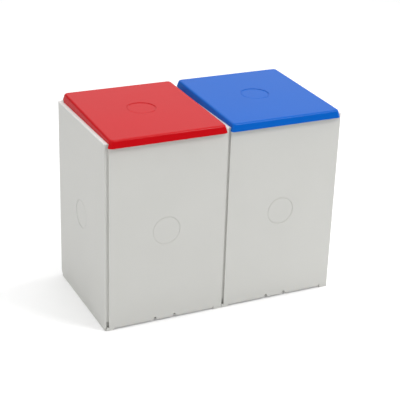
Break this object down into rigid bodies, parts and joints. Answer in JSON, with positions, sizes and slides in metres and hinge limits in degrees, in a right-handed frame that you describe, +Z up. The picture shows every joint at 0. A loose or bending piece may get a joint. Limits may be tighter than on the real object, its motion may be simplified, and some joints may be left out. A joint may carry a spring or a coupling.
{
  "type": "double recycling bin",
  "caption": "Pair of square-edged floor bins coupled side by side, each with a hinged tray lid in its own colour, for sorting household waste.",
  "frame": {"origin": "centre of the footprint, on the floor", "axes": "+Z up, the fronts face -Y, +X to the right along the pair"},
  "size_m": [0.6, 0.324, 0.4867],
  "materials": {
    "bin_panel": "fine satin grain, light warm grey",
    "bin_base": "fine satin grain, light warm grey",
    "frame": "fine satin grain, light warm grey",
    "red_lid": "satin, strong red",
    "blue_lid": "satin, strong blue",
    "hinge_pin": "drawn steel pin",
    "clip": "grey moulded plastic"
  },
  "bodies": {
    "bins": {"left_bin_base": "bin_base", "left_bin_front_panel": "bin_panel", "left_bin_rear_panel": "bin_panel", "left_bin_left_panel": "bin_panel", "left_bin_right_panel": "bin_panel", "left_bin_top_frame": "frame", "right_bin_base": "bin_base", "right_bin_front_panel": "bin_panel", "right_bin_rear_panel": "bin_panel", "right_bin_left_panel": "bin_panel", "right_bin_right_panel": "bin_panel", "right_bin_top_frame": "frame", "red_lid_left_hinge_pin": "hinge_pin", "red_lid_right_hinge_pin": "hinge_pin", "blue_lid_left_hinge_pin": "hinge_pin", "blue_lid_right_hinge_pin": "hinge_pin", "coupling_clip_lower_front": "clip", "coupling_clip_lower_rear": "clip", "coupling_clip_upper_front": "clip", "coupling_clip_upper_rear": "clip"},
    "red_lid": {"red_lid": "red_lid"},
    "blue_lid": {"blue_lid": "blue_lid"}
  },
  "joints": [
    {"name": "red_lid_hinge", "type": "hinge", "parent": "bins", "child": "red_lid", "pos_m": [-0.149, 0.1535, 0.456], "axis": [-1, 0, 0], "range_deg": [0, 110]},
    {"name": "blue_lid_hinge", "type": "hinge", "parent": "bins", "child": "blue_lid", "pos_m": [0.149, 0.1535, 0.456], "axis": [-1, 0, 0], "range_deg": [0, 110]}
  ]
}
